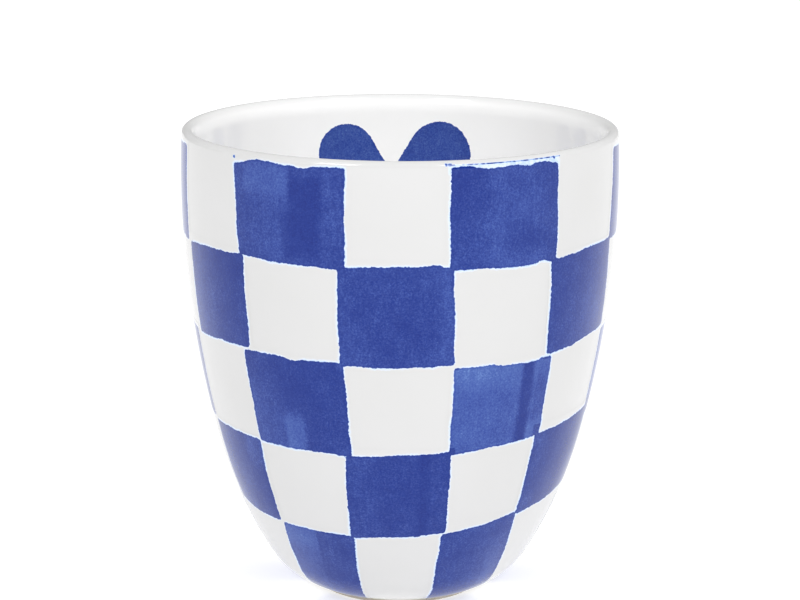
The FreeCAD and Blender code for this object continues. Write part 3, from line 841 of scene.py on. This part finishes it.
def make_blue_paint():
    """Return the material of the brushed cobalt paint under the glaze."""
    nodes = Nodes("blue_underglaze")
    where = nodes.place()
    frays = nodes.spread(nodes.noise(where, 1600.0, 3.0, 0.6), 0.2, 0.8, -0.20, 0.20)
    edge = nodes.math("ADD", nodes.attribute("paint_edge"), frays)
    cover = nodes.spread(edge, -0.05, 0.08, 0.0, 1.0, smooth=True)
    painted = nodes.math("MULTIPLY", cover, brushed_paint(nodes, where))
    pale = nodes.math("MAXIMUM", paint_halo(nodes, where, edge), guide_paint(nodes, where))
    amount = nodes.math("MAXIMUM", painted, pale)
    share = nodes.math("DIVIDE", amount, THICKEST_PAINT)
    ramp = nodes.add("ShaderNodeValToRGB", None, Fac=share)
    set_ramp(ramp, COBALT)
    tint = nodes.spread(amount, 0.0, 0.06, 0.0, 1.0, smooth=True)
    colour = nodes.mix(tint, white_glaze_colour(nodes, where), ramp.outputs["Color"])
    finish_glossy(nodes, where, colour)
    return nodes.material


def guide_paint(nodes, where):
    """Return the paint of the dotted guide line, its marks and the pale wash below it."""
    below = nodes.attribute("guide_below")
    feathers = nodes.spread(nodes.noise(where, 1100.0, 3.0), 0.35, 0.6, 0.03, 0.14)
    wash = nodes.math("MULTIPLY", nodes.attribute("guide_wash"), feathers)
    line = nodes.spread(nodes.math("ABSOLUTE", below), 0.04, 0.16, 1.0, 0.0)
    dots = nodes.spread(nodes.noise(where, 900.0, 2.0), 0.42, 0.60, 0.25, 1.10)
    dotted = nodes.math("MULTIPLY", line, dots)
    marks = nodes.spread(nodes.attribute("mark_gap"), 0.12, 0.40, 1.00, 0.0)
    return nodes.math("MAXIMUM", nodes.math("MAXIMUM", wash, dotted), marks)


def set_ramp(node, stops):
    """Set the stops of a colour ramp."""
    elements = node.color_ramp.elements
    while len(elements) < len(stops):
        elements.new(1.0)
    for element, (position, colour) in zip(elements, stops):
        element.position = position
        element.color = (*colour, 1)


def make_bare_clay():
    """Return the material of the unglazed clay: cream, matt and gritty."""
    nodes = Nodes("bare_stoneware")
    where = nodes.place()
    tone = nodes.spread(nodes.noise(where, 120.0, 4.0), 0.3, 0.7, 0.0, 1.0)
    clay = nodes.mix(tone, *CREAM_CLAY)
    grit = nodes.spread(nodes.noise(where, 2600.0, 2.0), 0.62, 0.72, 0.0, 0.6)
    nodes.feed(nodes.shader, "Base Color", nodes.mix(grit, clay, DARK_GRIT))
    nodes.feed(nodes.shader, "Roughness", nodes.spread(tone, 0.0, 1.0, 0.78, 0.92))
    nodes.feed(nodes.shader, "Normal", nodes.bump(nodes.noise(where, 1800.0, 4.0), 0.0001, 0.6))
    return nodes.material


def dress(node, material):
    """Put a material on a CAD node that stays in view."""
    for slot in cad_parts[node].material_slots:
        slot.material = material


# ------------------------------------------------------------- stage and lights

FLOOR_GLOW = 0.60

# The strength of the surroundings by direction: an even level, a rise towards
# the right and the back, and a rise towards both sides and overhead.
ROOM_LEVEL = 0.33
ROOM_SLOPE = (0.17, 0.18, 0.0)
ROOM_SIDES = (0.52, 0.0, 0.36)

# Soft lights in front: azimuth and elevation in degrees, power in watts, and for
# both the distance, the size and the height that they aim at, in metres.
SOFTBOXES = {"softbox_left": (-36, 40, 95.0), "softbox_right": (36, 40, 93.0)}
SOFTBOX_DISTANCE = 5.0
SOFTBOX_SIZE = 1.6
SOFTBOX_AIM_HEIGHT = 0.06

# The camera: direction in degrees, distance in metres, what it aims at in
# millimetres below the rim, and its lens, sideways shift and roll.
CAMERA_AZIMUTH = 0.8
CAMERA_ELEVATION = 13.75
CAMERA_DISTANCE = 0.439
CAMERA_AIM_DEPTH = 36.7
CAMERA_LENS = 95.45
CAMERA_SHIFT = 0.0007
CAMERA_ROLL = 0.2


def way_towards(azimuth, elevation):
    """Return the unit vector towards an azimuth and an elevation in degrees."""
    turn, rise = math.radians(azimuth), math.radians(elevation)
    return Vector((math.sin(turn) * math.cos(rise), -math.cos(turn) * math.cos(rise),
                   math.sin(rise)))


def make_floor():
    """Build the plain pale floor: a light table that glows a little."""
    size = 4.0
    points = np.array([[-size, -size, 0], [size, -size, 0], [size, size, 0], [-size, size, 0]])
    floor = make_object("floor", points, [[0, 1, 2, 3]])
    nodes = Nodes("pale_floor")
    where = nodes.place()
    tone = nodes.spread(nodes.noise(where, 3.0), 0.3, 0.7, 0.0, 1.0)
    nodes.feed(nodes.shader, "Base Color", nodes.mix(tone, *PALE_FLOOR))
    nodes.feed(nodes.shader, "Roughness", 0.9)
    nodes.feed(nodes.shader, "Specular IOR Level", 0.1)
    nodes.feed(nodes.shader, "Emission Color", (1.0, 1.0, 1.0, 1))
    nodes.feed(nodes.shader, "Emission Strength", FLOOR_GLOW)
    floor.data.materials.append(nodes.material)


def make_softbox(name, azimuth, elevation, power):
    """Add a square soft light that faces the mug."""
    data = bpy.data.lights.new(name, "AREA")
    data.shape = "SQUARE"
    data.size = SOFTBOX_SIZE
    data.energy = power
    way = way_towards(azimuth, elevation)
    lamp = bpy.data.objects.new(name, data)
    lamp.location = Vector((0, 0, SOFTBOX_AIM_HEIGHT)) + way * SOFTBOX_DISTANCE
    lamp.rotation_mode = "QUATERNION"
    lamp.rotation_quaternion = way.to_track_quat("Z", "Y")
    bpy.context.scene.collection.objects.link(lamp)


def combine(tree, kind, operation, first, second):
    """Return a maths node of the world; its inputs are sockets or plain values."""
    node = tree.nodes.new(kind)
    node.operation = operation
    for socket, value in zip(node.inputs, (first, second)):
        if isinstance(value, bpy.types.NodeSocket):
            tree.links.new(value, socket)
        else:
            socket.default_value = value
    return node


def make_surroundings():
    """Add white surroundings, brightest at the sides, overhead and behind."""
    world = bpy.data.worlds.new("white_room")
    world.use_nodes = True
    tree = world.node_tree
    background = tree.nodes["Background"]
    way = tree.nodes.new("ShaderNodeTexCoord").outputs["Generated"]
    slope = combine(tree, "ShaderNodeVectorMath", "DOT_PRODUCT", way, ROOM_SLOPE)
    squared = combine(tree, "ShaderNodeVectorMath", "MULTIPLY", way, way)
    sides = combine(tree, "ShaderNodeVectorMath", "DOT_PRODUCT",
                    squared.outputs["Vector"], ROOM_SIDES)
    level = combine(tree, "ShaderNodeMath", "ADD", slope.outputs["Value"], ROOM_LEVEL)
    total = combine(tree, "ShaderNodeMath", "ADD", level.outputs[0], sides.outputs["Value"])
    tree.links.new(total.outputs[0], background.inputs["Strength"])
    background.inputs["Color"].default_value = (1.0, 1.0, 1.0, 1)
    bpy.context.scene.world = world


def make_camera():
    """Place the camera a little above the rim, almost straight in front."""
    target = Vector((0, 0, (RIM_HEIGHT - CAMERA_AIM_DEPTH) * MM))
    way = way_towards(CAMERA_AZIMUTH, CAMERA_ELEVATION)
    data = bpy.data.cameras.new("camera")
    data.lens = CAMERA_LENS
    data.shift_x = CAMERA_SHIFT
    data.sensor_width = 36.0
    camera = bpy.data.objects.new("camera", data)
    camera.location = target + way * CAMERA_DISTANCE
    camera.rotation_mode = "QUATERNION"
    roll = Quaternion((0, 0, 1), math.radians(CAMERA_ROLL))
    camera.rotation_quaternion = (-way).to_track_quat("-Z", "Y") @ roll
    bpy.context.scene.collection.objects.link(camera)
    bpy.context.scene.camera = camera


# ------------------------------------------------------------------- the scene

make_camera()
white_glaze = make_white_glaze()
blue_paint = make_blue_paint()
make_glaze_coat(white_glaze)
all_squares = plan_squares()
for one_square in all_squares.values():
    make_square(all_squares, one_square, blue_paint)
make_heart(blue_paint)
dress("stoneware_body", make_bare_clay())
dress("base_glaze_disc", white_glaze)
make_floor()
make_surroundings()
for softbox, settings in SOFTBOXES.items():
    make_softbox(softbox, *settings)
bpy.context.scene.view_settings.view_transform = "Standard"
